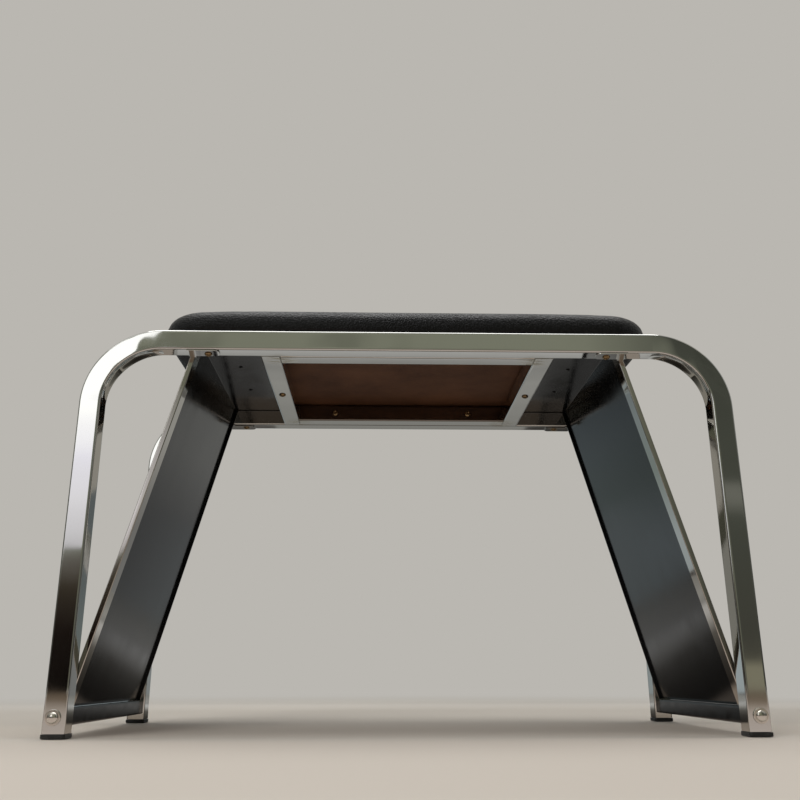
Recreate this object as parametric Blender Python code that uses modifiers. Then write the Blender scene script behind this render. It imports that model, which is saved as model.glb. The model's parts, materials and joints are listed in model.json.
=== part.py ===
"""Shoe fitting bench.

Two bent square-tube arches stand front and back and carry a padded seat on a small tube frame.
A sloped mirror panel closes each end, from under the seat down to a black rail between the feet.
X runs along the bench, Y from front to back, Z up. The origin is on the floor under the middle.
All sizes are in metres.
"""
import math

import bmesh
import bpy
from mathutils import Matrix, Vector

# Arches: one bent square tube each
LENGTH = 0.630
DEPTH = 0.288
RAIL_TOP = 0.375
TUBE = 0.020
TUBE_WALL = 0.0012
TUBE_CORNER = 0.002
BEND_RADIUS = 0.064
BEND_DISH = 0.0025
BEND_STEPS = 12
CORNER_STEPS = 3

# Gap left between pieces that touch on the real bench
CLEARANCE = 0.0003

# Foot caps: a plastic lip under each leg and a ribbed plug inside it
FOOT_LIP = 0.0038
FOOT_OVERHANG = 0.0006
FOOT_EDGE = 0.0009
FOOT_PLUG = 0.0085
FOOT_RIB = 0.0006
FOOT_RIBS = 2

# Seat frame: two cross bars and two members between them, of the same tube as the arches
BAR_X = 0.138
MEMBER_SCREW_X = 0.083

# Seat pad: board, foam and a cover that is wrapped under the board
PAD_LENGTH = 0.496
PAD_DEPTH = 0.280
PAD_CORNER = 0.048
PAD_PULL = 0.0012
PAD_SIDE = 0.0130
PAD_SHOULDER = 0.0135
PAD_CROWN = 0.0055
COVER = 0.0010
COVER_WRAP = 0.027
COVER_TUCK = 0.0055
BOARD = 0.009
PAD_LEAST_CORNER = 0.006
PAD_SHOULDER_TURN = math.radians(82)
PAD_SHOULDER_STEPS = 4
PAD_CROWN_STEPS = 4
PAD_CORNER_STEPS = 4
PAD_LONG_STEPS = 5
PAD_SHORT_STEPS = 3

# Mirror panels: a sheet with folded edges, leaning out towards the feet; only the front fold has a return
PANEL_HEAD_X = 0.2117
PANEL_FOLD = 0.005
PANEL_RETURN = 0.015
PANEL_SHEET = 0.0008
PANEL_FOLD_RADIUS = 0.0004

# Black backing sheet behind each mirror, bent over at the top into a flange under the seat
BACKING = 0.0010
BACKING_BEND = 0.001
FLANGE_SCREW_Y = 0.040

# Ears: flat tabs that hang each panel from the underside of the arches, joined to the panel by a neck
EAR_THICK = 0.0010
EAR_WIDTH = 0.016
EAR_LENGTH = 0.0312
EAR_SETBACK = 0.0005
EAR_TIP = 0.0055
EAR_NECK = 0.0065
EAR_SCREW_FROM_TIP = 0.0112

# Bottom rails: black square tube between the front and rear foot, with a threaded insert in each end
RAIL = 0.015
RAIL_WALL = 0.0012
RAIL_CORNER = 0.0015
RAIL_BOTTOM = 0.0098
RAIL_SETBACK = 0.0015
INSERT_LENGTH = 0.014

# Fasteners
BOLT_FLANGE = 0.0135
BOLT_FLANGE_THICK = 0.0009
BOLT_DOME = 0.0098
BOLT_DOME_HIGH = 0.0030
BOLT_SHANK = 0.0058
SCREW_HEAD = 0.0076
SCREW_HEAD_HIGH = 0.0019
SCREW_SHANK = 0.0036
SCREW_BITE = 0.0070
BOLT_SIDES = 20
SCREW_SIDES = 12
HEAD_ARC_STEPS = 3

# Places that follow from the sizes above
LEG_X = LENGTH / 2 - TUBE / 2
ARCH_Y = DEPTH / 2 - TUBE / 2
INSIDE_Y = DEPTH / 2 - TUBE
RAIL_UNDER = RAIL_TOP - TUBE
RAIL_MID = RAIL_TOP - TUBE / 2
TUBE_END = FOOT_LIP + CLEARANCE
BAR_OUTER_X = BAR_X + TUBE / 2
MEMBER_Y = INSIDE_Y - CLEARANCE - TUBE / 2
BOTTOM_RAIL_X = LENGTH / 2 - RAIL_SETBACK - RAIL / 2
BOTTOM_RAIL_Z = RAIL_BOTTOM + RAIL / 2
PAD_UNDER = RAIL_TOP + CLEARANCE
BOARD_UNDER = PAD_UNDER + COVER + CLEARANCE
BOARD_TOP = BOARD_UNDER + BOARD
FLANGE_TOP = RAIL_TOP - CLEARANCE
FLANGE_UNDER = FLANGE_TOP - BACKING
PANEL_TOP = FLANGE_UNDER - CLEARANCE
PANEL_UNDER = RAIL_BOTTOM + RAIL + CLEARANCE
PANEL_WIDTH = 2 * (INSIDE_Y - CLEARANCE)
PANEL_LEAN = (BOTTOM_RAIL_X - PANEL_HEAD_X) / (RAIL_TOP - PANEL_UNDER)
PANEL_SLANT = math.sqrt(1 + PANEL_LEAN ** 2)
EAR_TOP = RAIL_UNDER - CLEARANCE
EAR_UNDER = EAR_TOP - EAR_THICK

SIDES = {"left": -1, "right": 1}
FACES = {"front": -1, "rear": 1}


def panel_x(height, inward=0.0):
    """Distance from the middle to the panel's outer face at a height, less a depth square to that face."""
    return PANEL_HEAD_X + PANEL_LEAN * (RAIL_TOP - height) - inward * PANEL_SLANT


EAR_END_X = panel_x(EAR_TOP)
EAR_TIP_X = EAR_END_X - EAR_LENGTH
EAR_SCREW_X = EAR_TIP_X + EAR_SCREW_FROM_TIP
FLANGE_SCREW_X = (BAR_OUTER_X + panel_x(FLANGE_UNDER)) / 2


def clear_scene():
    """Start from an empty scene."""
    for obj in list(bpy.data.objects):
        bpy.data.objects.remove(obj, do_unlink=True)


def make_collection(name):
    """A collection linked to the scene."""
    collection = bpy.data.collections.new(name)
    bpy.context.scene.collection.children.link(collection)
    return collection


clear_scene()
PARTS = make_collection("shoe_fitting_bench")
CUTTERS = make_collection("shoe_fitting_bench_cutters")


def make_material(name, colour, roughness, metallic=0.0):
    """A Principled material of one colour."""
    material = bpy.data.materials.new(name)
    material.use_nodes = True
    shader = material.node_tree.nodes["Principled BSDF"]
    shader.inputs["Base Color"].default_value = (*colour, 1.0)
    shader.inputs["Roughness"].default_value = roughness
    shader.inputs["Metallic"].default_value = metallic
    return material


CHROME = make_material("polished_tube", (0.62, 0.62, 0.60), 0.08, 1.0)
MIRROR = make_material("mirror_sheet", (0.58, 0.59, 0.59), 0.10, 1.0)
BLACK_SHEET = make_material("black_sheet", (0.012, 0.013, 0.014), 0.30)
BLACK_PAINT = make_material("black_paint", (0.010, 0.010, 0.011), 0.28)
BLACK_PLASTIC = make_material("black_plastic", (0.011, 0.011, 0.011), 0.48)
LEATHERETTE = make_material("leatherette", (0.014, 0.014, 0.015), 0.42)
FOAM = make_material("seat_foam", (0.72, 0.62, 0.40), 0.90)
HARDBOARD = make_material("hardboard", (0.062, 0.030, 0.018), 0.70)
NICKEL = make_material("nickel_bolt", (0.66, 0.63, 0.58), 0.18, 1.0)
BRASSY = make_material("passivated_screw", (0.52, 0.42, 0.26), 0.30, 1.0)
STEEL = make_material("plain_steel", (0.36, 0.36, 0.36), 0.40, 1.0)


def add_object(name, bm, material, collection=PARTS):
    """Put a finished bmesh into the scene as a named object."""
    mesh = bpy.data.meshes.new(name)
    bm.to_mesh(mesh)
    bm.free()
    obj = bpy.data.objects.new(name, mesh)
    collection.objects.link(obj)
    if material:
        mesh.materials.append(material)
    return obj


def smooth_round_faces(obj, angle=35.0):
    """Shade the round faces smooth and keep the folds sharp."""
    obj.data.shade_smooth()
    obj.data.set_sharp_from_angle(angle=math.radians(angle))


def add_shell(obj, thickness):
    """Give an open surface its wall, on the inner side of its normals."""
    solidify = obj.modifiers.new("wall", "SOLIDIFY")
    solidify.thickness = thickness
    solidify.offset = -1.0
    solidify.use_even_offset = True
    return obj


def cut_holes(obj, holes):
    """Drill cylinders out of an object; each hole is start, end and diameter."""
    bm = bmesh.new()
    for start, end, diameter in holes:
        run = Vector(end) - Vector(start)
        middle = (Vector(start) + Vector(end)) / 2
        place = Matrix.Translation(middle) @ run.to_track_quat("Z", "Y").to_matrix().to_4x4()
        bmesh.ops.create_cone(bm, cap_ends=True, segments=SCREW_SIDES, radius1=diameter / 2,
                              radius2=diameter / 2, depth=run.length, matrix=place)
    drill = add_object(obj.name + "_drill", bm, None, CUTTERS)
    drill.hide_render = True
    drill.display_type = "WIRE"
    boolean = obj.modifiers.new("holes", "BOOLEAN")
    boolean.operation = "DIFFERENCE"
    boolean.solver = "EXACT"
    boolean.object = drill


def rounded_outline(corners, steps):
    """A closed outline; each corner is x, y and the radius of its arc, 0 for a sharp one."""
    points = []
    for index, (x, y, radius) in enumerate(corners):
        corner = Vector((x, y))
        if radius == 0:
            points.append(corner)
            continue
        back = (Vector(corners[index - 1][:2]) - corner).normalized()
        ahead = (Vector(corners[(index + 1) % len(corners)][:2]) - corner).normalized()
        half = back.angle(ahead) / 2
        centre = corner + (back + ahead).normalized() * radius / math.sin(half)
        spoke = corner + back * radius / math.tan(half) - centre
        sweep = math.copysign(math.pi - 2 * half, ahead.cross(back))
        for step in range(steps + 1):
            points.append(centre + Matrix.Rotation(sweep * step / steps, 2) @ spoke)
    return points


def square_section(side, radius):
    """Outline of a rounded square around the origin."""
    half = side / 2
    corners = [(half, half, radius), (-half, half, radius), (-half, -half, radius), (half, -half, radius)]
    return rounded_outline(corners, CORNER_STEPS)


def loop_of_edges(bm, points):
    """Join points into a closed loop of edges."""
    verts = [bm.verts.new(point) for point in points]
    return [bm.edges.new(pair) for pair in zip(verts, verts[1:] + verts[:1])]


def pull_loop(bm, edges, vector):
    """Extrude a loop of edges along a straight line and return the new loop."""
    made = bmesh.ops.extrude_edge_only(bm, edges=edges)["geom"]
    verts = {item for item in made if isinstance(item, bmesh.types.BMVert)}
    bmesh.ops.translate(bm, verts=list(verts), vec=vector)
    return [item for item in made if isinstance(item, bmesh.types.BMEdge) and set(item.verts) <= verts]


def bend_loop(bm, edges, centre, angle):
    """Spin a loop of edges about a line along Y and return the last loop."""
    verts = {vert for edge in edges for vert in edge.verts}
    made = bmesh.ops.spin(bm, geom=list(verts) + edges, cent=centre, axis=(0, 1, 0),
                          angle=angle, steps=BEND_STEPS)["geom_last"]
    return [item for item in made if isinstance(item, bmesh.types.BMEdge)]


def stack_rings(bm, rings, floor=True):
    """Loft a stack of rings with equal point counts; the top is capped, the floor only if asked."""
    stack = [[bm.verts.new(point) for point in ring] for ring in rings]
    for lower, upper in zip(stack, stack[1:]):
        for corner in range(len(lower)):
            bm.faces.new((lower[corner - 1], lower[corner], upper[corner], upper[corner - 1]))
    for ring in (stack[:1] if floor else []) + stack[-1:]:
        bm.faces.new(ring)
    bmesh.ops.recalc_face_normals(bm, faces=bm.faces)


def prism(name, outline, place, sweep, material):
    """A solid swept from a flat outline: place puts an outline point in space, sweep is the extrusion."""
    bm = bmesh.new()
    face = bm.faces.new([bm.verts.new(place(point)) for point in outline])
    made = bmesh.ops.extrude_face_region(bm, geom=[face])["geom"]
    bmesh.ops.translate(bm, verts=[item for item in made if isinstance(item, bmesh.types.BMVert)], vec=sweep)
    bmesh.ops.recalc_face_normals(bm, faces=bm.faces)
    return add_object(name, bm, material)


def straight_tube(name, centre, length, axis, side, wall, corner, material):
    """An open-ended square tube along X or Y."""
    bm = bmesh.new()
    turn = Vector(axis).to_track_quat("Z", "Y").to_matrix()
    start = Vector(centre) - Vector(axis) * length / 2
    section = [start + turn @ point.to_3d() for point in square_section(side, corner)]
    pull_loop(bm, loop_of_edges(bm, section), Vector(axis) * length)
    bmesh.ops.recalc_face_normals(bm, faces=bm.faces)
    tube = add_shell(add_object(name, bm, material), wall)
    smooth_round_faces(tube)
    return tube


def turned_mesh(profile, steps):
    """The mesh of a profile of radius and height points turned about Z, from its top to its tip."""
    mesh = bpy.data.meshes.new("profile")
    mesh.from_pydata([(radius, 0, height) for radius, height in profile],
                     [(index, index + 1) for index in range(len(profile) - 1)], [])
    obj = bpy.data.objects.new("profile", mesh)
    CUTTERS.objects.link(obj)
    screw = obj.modifiers.new("turn", "SCREW")
    screw.steps = steps
    screw.render_steps = steps
    screw.use_merge_vertices = True
    screw.merge_threshold = 0.00001
    turned = bpy.data.meshes.new_from_object(obj.evaluated_get(bpy.context.evaluated_depsgraph_get()))
    bpy.data.objects.remove(obj, do_unlink=True)
    return turned


def add_fastener(name, mesh, seat, way, material):
    """One fastener at the seat of its head, with its shank pointing the given way; copies share a mesh."""
    if not mesh.materials:
        mesh.materials.append(material)
    obj = bpy.data.objects.new(name, mesh)
    PARTS.objects.link(obj)
    obj.location = seat
    obj.rotation_euler = (-Vector(way)).to_track_quat("Z", "Y").to_euler()
    smooth_round_faces(obj)


def quarter_arc(radius, height, steps):
    """Radius and height points of a domed head, from the middle of its top down to its rim."""
    angles = [math.pi / 2 * step / steps for step in range(steps + 1)]
    return [(radius * math.sin(angle), height * math.cos(angle)) for angle in angles]


def pan_head_screw(shank_length):
    """Profile of a pan-head screw whose head seats on the plane z = 0."""
    shank = SCREW_SHANK / 2
    return quarter_arc(SCREW_HEAD / 2, SCREW_HEAD_HIGH, HEAD_ARC_STEPS) + [
        (shank, 0), (shank, shank - shank_length), (0, -shank_length)]


def flanged_dome_bolt(shank_length):
    """Profile of a dome-head bolt with a flange, seated on the plane z = 0."""
    shank = BOLT_SHANK / 2
    dome = quarter_arc(BOLT_DOME / 2, BOLT_DOME_HIGH, HEAD_ARC_STEPS + 1)
    return [(radius, height + BOLT_FLANGE_THICK) for radius, height in dome] + [
        (BOLT_FLANGE / 2, BOLT_FLANGE_THICK), (BOLT_FLANGE / 2, 0), (shank, 0),
        (shank, -shank_length), (0, -shank_length)]


def hole_for(shank):
    """Diameter of the clearance hole round a shank."""
    return shank + 2 * CLEARANCE


def dish_bends(bm, bend_x, y, bend_z):
    """Draw in the middle line of each bend's inner wall, as bending a square tube does, most at half turn."""
    for vert in bm.verts:
        spoke = Vector((abs(vert.co.x) - bend_x, 0, vert.co.z - bend_z))
        in_bend = spoke.x > 0 and spoke.z > 0 and spoke.length < BEND_RADIUS
        if in_bend and abs(vert.co.y - y) < CLEARANCE:
            turn = math.atan2(spoke.z, spoke.x)
            push = spoke.normalized() * BEND_DISH * math.sin(2 * turn)
            vert.co += Vector((math.copysign(push.x, vert.co.x), 0, push.z))


def make_arch(face, sign):
    """One bent tube: a leg, a bend, the rail, a bend and a leg, with its bolt and screw holes."""
    y = sign * ARCH_Y
    bend_z = RAIL_MID - BEND_RADIUS
    bend_x = LEG_X - BEND_RADIUS
    bm = bmesh.new()
    inner_middle = Vector((TUBE / 2, 0))
    section = square_section(TUBE, TUBE_CORNER) + [inner_middle]
    loop = loop_of_edges(bm, [(point.x - LEG_X, point.y + y, TUBE_END) for point in section])
    loop = pull_loop(bm, loop, (0, 0, bend_z - TUBE_END))
    loop = bend_loop(bm, loop, (-bend_x, y, bend_z), math.pi / 2)
    loop = pull_loop(bm, loop, (2 * bend_x, 0, 0))
    loop = bend_loop(bm, loop, (bend_x, y, bend_z), math.pi / 2)
    pull_loop(bm, loop, (0, 0, TUBE_END - bend_z))
    dish_bends(bm, bend_x, y, bend_z)
    bmesh.ops.recalc_face_normals(bm, faces=bm.faces)
    arch = add_shell(add_object(face + "_arch", bm, CHROME), TUBE_WALL)
    smooth_round_faces(arch)
    bolt_hole = hole_for(BOLT_SHANK)
    screw_hole = hole_for(SCREW_SHANK)
    inside = sign * INSIDE_Y
    wall = sign * TUBE_WALL
    holes = []
    for side in SIDES.values():
        x = side * BOTTOM_RAIL_X
        holes.append(((x, y - TUBE, BOTTOM_RAIL_Z), (x, y + TUBE, BOTTOM_RAIL_Z), bolt_hole))
        x = side * EAR_SCREW_X
        holes.append(((x, y, RAIL_UNDER - TUBE_WALL), (x, y, RAIL_UNDER + 2 * TUBE_WALL), screw_hole))
        x = side * MEMBER_SCREW_X
        holes.append(((x, inside - wall, RAIL_MID), (x, inside + 2 * wall, RAIL_MID), screw_hole))
    cut_holes(arch, holes)


def make_foot_cap(face, side):
    """A plastic foot: a lip under the tube and a ribbed plug inside it."""
    lip = TUBE + 2 * FOOT_OVERHANG
    plug = TUBE - 2 * TUBE_WALL - 2 * CLEARANCE
    core = plug - 2 * FOOT_RIB
    levels = [(lip - 2 * FOOT_EDGE, 0), (lip, FOOT_EDGE), (lip, FOOT_LIP - FOOT_EDGE / 2),
              (lip - FOOT_EDGE, FOOT_LIP)]
    pitch = FOOT_PLUG / FOOT_RIBS
    for rib in range(FOOT_RIBS):
        base = FOOT_LIP + rib * pitch
        crest = base + pitch / 2
        levels += [(core, base), (core, crest), (plug, crest + FOOT_RIB / 2), (plug - FOOT_RIB, base + pitch)]
    middle = Vector((SIDES[side] * LEG_X, FACES[face] * ARCH_Y, 0))
    bm = bmesh.new()
    stack_rings(bm, [[middle + point.to_3d() + Vector((0, 0, height))
                      for point in square_section(size, TUBE_CORNER)] for size, height in levels])
    smooth_round_faces(add_object(f"foot_cap_{face}_{side}", bm, BLACK_PLASTIC))


def make_seat_frame():
    """Two cross bars from arch to arch and two members between them, with their screw holes."""
    bar_length = 2 * (INSIDE_Y - CLEARANCE)
    member_length = 2 * (BAR_X - TUBE / 2 - CLEARANCE)
    for side, sign in SIDES.items():
        bar = straight_tube(f"seat_frame_{side}_bar", (sign * BAR_X, 0, RAIL_MID), bar_length, (0, 1, 0),
                            TUBE, TUBE_WALL, TUBE_CORNER, CHROME)
        cut_holes(bar, [((sign * BAR_X, 0, RAIL_UNDER - TUBE), (sign * BAR_X, 0, RAIL_TOP + TUBE),
                         hole_for(SCREW_SHANK))])
    for face, sign in FACES.items():
        y = sign * MEMBER_Y
        member = straight_tube(f"seat_frame_{face}_member", (0, y, RAIL_MID), member_length, (1, 0, 0),
                               TUBE, TUBE_WALL, TUBE_CORNER, CHROME)
        places = [side * MEMBER_SCREW_X for side in SIDES.values()]
        cut_holes(member, [((x, y - TUBE, RAIL_MID), (x, y + TUBE, RAIL_MID), hole_for(SCREW_SHANK))
                           for x in places])


def pad_ring(inset, height, pull=0.0):
    """The pad's plan outline, drawn in by inset all round and by pull more at the middle of each side."""
    half_x = PAD_LENGTH / 2 - inset
    half_y = PAD_DEPTH / 2 - inset
    radius = max(PAD_CORNER - inset, PAD_LEAST_CORNER)
    quadrants = [(1, 1), (-1, 1), (-1, -1), (1, -1)]
    arcs = rounded_outline([(x * half_x, y * half_y, radius) for x, y in quadrants], PAD_CORNER_STEPS)
    ring = []
    size = PAD_CORNER_STEPS + 1
    for corner in range(4):
        arc = arcs[corner * size:(corner + 1) * size]
        following = arcs[(corner + 1) * size % len(arcs)]
        ring += arc
        steps = PAD_SHORT_STEPS if corner % 2 else PAD_LONG_STEPS
        along = following - arc[-1]
        inner = Vector((-along.y, along.x)).normalized()
        for step in range(1, steps):
            share = step / steps
            ring.append(arc[-1] + along * share + inner * pull * 4 * share * (1 - share))
    return [Vector((point.x, point.y, height)) for point in ring]


def pad_top_profile(skin):
    """Inset and height pairs up the side, over the shoulder and along the crown, skin below the outside."""
    rim = PAD_UNDER + PAD_SIDE
    reach = PAD_SHOULDER - skin
    profile = []
    for step in range(PAD_SHOULDER_STEPS + 1):
        angle = PAD_SHOULDER_TURN * step / PAD_SHOULDER_STEPS
        profile.append((PAD_SHOULDER - reach * math.cos(angle), rim + reach * math.sin(angle)))
    edge_inset, edge_height = profile[-1]
    run = PAD_DEPTH / 2 - 2 * PAD_LEAST_CORNER - edge_inset
    for step in range(1, PAD_CROWN_STEPS + 1):
        share = step / PAD_CROWN_STEPS
        profile.append((edge_inset + share * run, edge_height + PAD_CROWN * (1 - (1 - share) ** 2)))
    return profile


def make_seat_pad():
    """Board, foam and cover of the seat; the cover is an open shell that turns in under the board."""
    skin = COVER + CLEARANCE
    bm = bmesh.new()
    stack_rings(bm, [pad_ring(skin + COVER_TUCK, BOARD_UNDER, PAD_PULL),
                     pad_ring(skin, BOARD_UNDER + COVER_TUCK, PAD_PULL), pad_ring(skin, BOARD_TOP, PAD_PULL)])
    board = add_object("seat_board", bm, HARDBOARD)
    depth = BOARD_UNDER + SCREW_BITE
    holes = [((side * BAR_X, 0, RAIL_TOP), (side * BAR_X, 0, depth + CLEARANCE), hole_for(SCREW_SHANK))
             for side in SIDES.values()]
    holes += [((side * FLANGE_SCREW_X, face * FLANGE_SCREW_Y, RAIL_TOP),
               (side * FLANGE_SCREW_X, face * FLANGE_SCREW_Y, depth + CLEARANCE), hole_for(SCREW_SHANK))
              for side in SIDES.values() for face in FACES.values()]
    cut_holes(board, holes)

    bm = bmesh.new()
    rings = [pad_ring(skin, BOARD_TOP + CLEARANCE, PAD_PULL)]
    rings += [pad_ring(inset, height, PAD_PULL) for inset, height in pad_top_profile(skin)]
    stack_rings(bm, rings)
    smooth_round_faces(add_object("seat_foam", bm, FOAM))

    bm = bmesh.new()
    turn = COVER_TUCK * (1 - math.sqrt(0.5))
    rings = [pad_ring(COVER_WRAP, PAD_UNDER), pad_ring(COVER_TUCK, PAD_UNDER, PAD_PULL),
             pad_ring(turn, PAD_UNDER + turn, PAD_PULL), pad_ring(0, PAD_UNDER + COVER_TUCK, PAD_PULL)]
    rings += [pad_ring(inset, height, PAD_PULL) for inset, height in pad_top_profile(0.0)]
    stack_rings(bm, rings, floor=False)
    cover = add_shell(add_object("seat_cover", bm, LEATHERETTE), COVER)
    smooth_round_faces(cover, 60.0)


def make_mirror_panel(side, sign):
    """A sheet with its front edge folded in and back and its rear edge folded in, swept down the slope."""
    half = PANEL_WIDTH / 2
    depth = PANEL_FOLD * PANEL_SLANT
    sheet = PANEL_SHEET * PANEL_SLANT
    inner = PANEL_FOLD_RADIUS
    outer = PANEL_FOLD_RADIUS + PANEL_SHEET
    rear_edge = [(0, half, outer), (depth, half, 0), (depth, half - PANEL_SHEET, 0),
                 (sheet, half - PANEL_SHEET, inner)]
    front_edge = [(sheet, PANEL_SHEET - half, inner), (depth - sheet, PANEL_SHEET - half, inner),
                  (depth - sheet, PANEL_RETURN - half, 0), (depth, PANEL_RETURN - half, 0),
                  (depth, -half, outer), (0, -half, outer)]
    head = panel_x(PANEL_TOP)
    drop = PANEL_UNDER - PANEL_TOP
    panel = prism(side + "_mirror_panel", rounded_outline(rear_edge + front_edge, CORNER_STEPS),
                  lambda point: (sign * (head - point.x), point.y, PANEL_TOP),
                  (-sign * PANEL_LEAN * drop, 0, drop), MIRROR)
    smooth_round_faces(panel)


def make_backing_sheet(side, sign):
    """The black sheet inside the mirror's folds, bent at the top into a flange that reaches the cross bar."""
    half = PANEL_WIDTH / 2 - PANEL_SHEET - CLEARANCE
    near = PANEL_SHEET + CLEARANCE
    far = near + BACKING
    foot = PANEL_UNDER + CLEARANCE
    end = BAR_OUTER_X + CLEARANCE
    corners = [(panel_x(foot, near), foot, 0),
               (panel_x(FLANGE_TOP, near), FLANGE_TOP, BACKING_BEND + BACKING),
               (end, FLANGE_TOP, 0),
               (end, FLANGE_UNDER, 0),
               (panel_x(FLANGE_UNDER, far), FLANGE_UNDER, BACKING_BEND),
               (panel_x(foot, far), foot, 0)]
    sheet = prism(side + "_backing_sheet", rounded_outline(corners, CORNER_STEPS),
                  lambda point: (sign * point.x, -half, point.y), (0, 2 * half, 0), BLACK_SHEET)
    smooth_round_faces(sheet)
    x = sign * FLANGE_SCREW_X
    places = [face * FLANGE_SCREW_Y for face in FACES.values()]
    cut_holes(sheet, [((x, y, FLANGE_UNDER - BACKING), (x, y, FLANGE_TOP + BACKING), hole_for(SCREW_SHANK))
                      for y in places])


def make_ear(face, side):
    """A flat tab under the arch; its neck reaches back to the panel's folded edge."""
    x_sign = SIDES[side]
    y_sign = FACES[face]
    outer = DEPTH / 2 - EAR_SETBACK
    inner = outer - EAR_WIDTH
    root = PANEL_WIDTH / 2 + CLEARANCE
    neck = EAR_END_X - EAR_NECK
    corners = [(EAR_END_X, outer, 0), (EAR_TIP_X, outer, EAR_TIP), (EAR_TIP_X, inner, EAR_TIP),
               (neck, inner, 0), (neck, root, 0), (EAR_END_X, root, 0)]
    ear = prism(f"ear_{face}_{side}", rounded_outline(corners, CORNER_STEPS + 1),
                lambda point: (x_sign * point.x, y_sign * point.y, EAR_UNDER), (0, 0, EAR_THICK), CHROME)
    smooth_round_faces(ear)
    x = x_sign * EAR_SCREW_X
    y = y_sign * ARCH_Y
    cut_holes(ear, [((x, y, EAR_UNDER - EAR_THICK), (x, y, EAR_TOP + EAR_THICK), hole_for(SCREW_SHANK))])


def make_bottom_rail(side, sign):
    """A black tube from the front foot to the rear foot."""
    straight_tube(side + "_bottom_rail", (sign * BOTTOM_RAIL_X, 0, BOTTOM_RAIL_Z), 2 * (INSIDE_Y - CLEARANCE),
                  (0, 1, 0), RAIL, RAIL_WALL, RAIL_CORNER, BLACK_PAINT)


def make_rail_insert(face, side):
    """A threaded block inside the end of a bottom rail, for the foot bolt."""
    block = RAIL - 2 * RAIL_WALL - 2 * CLEARANCE
    y = FACES[face] * (INSIDE_Y - CLEARANCE - INSERT_LENGTH / 2)
    middle = Vector((SIDES[side] * BOTTOM_RAIL_X, y, BOTTOM_RAIL_Z))
    bm = bmesh.new()
    bmesh.ops.create_cube(bm, matrix=Matrix.LocRotScale(middle, None, (block, INSERT_LENGTH, block)))
    reach = Vector((0, INSERT_LENGTH, 0))
    cut_holes(add_object(f"rail_insert_{face}_{side}", bm, STEEL),
              [(middle - reach, middle + reach, hole_for(BOLT_SHANK))])


def make_fasteners():
    """Foot bolts, ear screws, seat frame screws, flange screws and seat screws."""
    bolt = turned_mesh(flanged_dome_bolt(TUBE + CLEARANCE + INSERT_LENGTH), BOLT_SIDES)
    ear_screw = turned_mesh(pan_head_screw(EAR_THICK + TUBE_WALL + SCREW_BITE), SCREW_SIDES)
    frame_screw = turned_mesh(pan_head_screw(TUBE + TUBE_WALL + SCREW_BITE), SCREW_SIDES)
    flange_screw = turned_mesh(pan_head_screw(BOARD_UNDER + SCREW_BITE - FLANGE_UNDER), SCREW_SIDES)
    seat_screw = turned_mesh(pan_head_screw(BOARD_UNDER + SCREW_BITE - RAIL_UNDER), SCREW_SIDES)
    up = (0, 0, 1)
    for side, x in SIDES.items():
        add_fastener(f"seat_screw_{side}", seat_screw, (x * BAR_X, 0, RAIL_UNDER - CLEARANCE), up, BRASSY)
        for face, y in FACES.items():
            place = f"_{face}_{side}"
            add_fastener("foot_bolt" + place, bolt,
                         (x * BOTTOM_RAIL_X, y * (DEPTH / 2 + CLEARANCE), BOTTOM_RAIL_Z), (0, -y, 0), NICKEL)
            add_fastener("ear_screw" + place, ear_screw,
                         (x * EAR_SCREW_X, y * ARCH_Y, EAR_UNDER - CLEARANCE), up, BRASSY)
            add_fastener("seat_frame_screw" + place, frame_screw,
                         (x * MEMBER_SCREW_X, y * (MEMBER_Y - TUBE / 2 - CLEARANCE), RAIL_MID), (0, y, 0),
                         BRASSY)
            add_fastener("flange_screw" + place, flange_screw,
                         (x * FLANGE_SCREW_X, y * FLANGE_SCREW_Y, FLANGE_UNDER - CLEARANCE), up, BLACK_PAINT)


def main():
    for face, sign in FACES.items():
        make_arch(face, sign)
        for side in SIDES:
            make_foot_cap(face, side)
            make_ear(face, side)
            make_rail_insert(face, side)
    make_seat_frame()
    make_seat_pad()
    for side, sign in SIDES.items():
        make_mirror_panel(side, sign)
        make_backing_sheet(side, sign)
        make_bottom_rail(side, sign)
    make_fasteners()


main()
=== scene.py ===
"""Shoe fitting bench: fine surfaces, finishes, floor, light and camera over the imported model.

Lengths are metres in the bench's own frame: X along the bench, Y from front to back, Z up.
"""
import json
import math

import bmesh
import bpy
import numpy as np
from mathutils import Matrix, Vector

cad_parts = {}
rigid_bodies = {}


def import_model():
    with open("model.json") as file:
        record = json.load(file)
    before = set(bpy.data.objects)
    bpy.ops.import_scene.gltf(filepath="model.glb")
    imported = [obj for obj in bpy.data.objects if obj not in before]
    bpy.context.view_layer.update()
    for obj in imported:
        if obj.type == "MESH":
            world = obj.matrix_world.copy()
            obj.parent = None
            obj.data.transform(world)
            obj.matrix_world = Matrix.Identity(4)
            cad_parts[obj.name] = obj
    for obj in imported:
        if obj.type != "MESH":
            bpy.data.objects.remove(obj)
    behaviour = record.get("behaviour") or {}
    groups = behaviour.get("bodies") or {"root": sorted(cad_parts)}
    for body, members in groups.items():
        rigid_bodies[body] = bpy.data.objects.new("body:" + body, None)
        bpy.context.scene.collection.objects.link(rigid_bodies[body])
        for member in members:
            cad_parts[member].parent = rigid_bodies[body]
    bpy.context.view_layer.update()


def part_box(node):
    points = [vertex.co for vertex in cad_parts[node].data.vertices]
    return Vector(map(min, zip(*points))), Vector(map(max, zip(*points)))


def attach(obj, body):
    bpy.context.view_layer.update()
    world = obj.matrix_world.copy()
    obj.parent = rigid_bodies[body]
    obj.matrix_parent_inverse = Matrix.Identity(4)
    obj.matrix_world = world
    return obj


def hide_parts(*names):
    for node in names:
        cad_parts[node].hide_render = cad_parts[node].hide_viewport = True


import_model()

FACES = {"front": -1, "rear": 1}
SIDES = {"left": -1, "right": 1}


def span(node):
    """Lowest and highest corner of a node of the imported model, as arrays."""
    low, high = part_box(node)
    return np.array(low), np.array(high)


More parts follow.
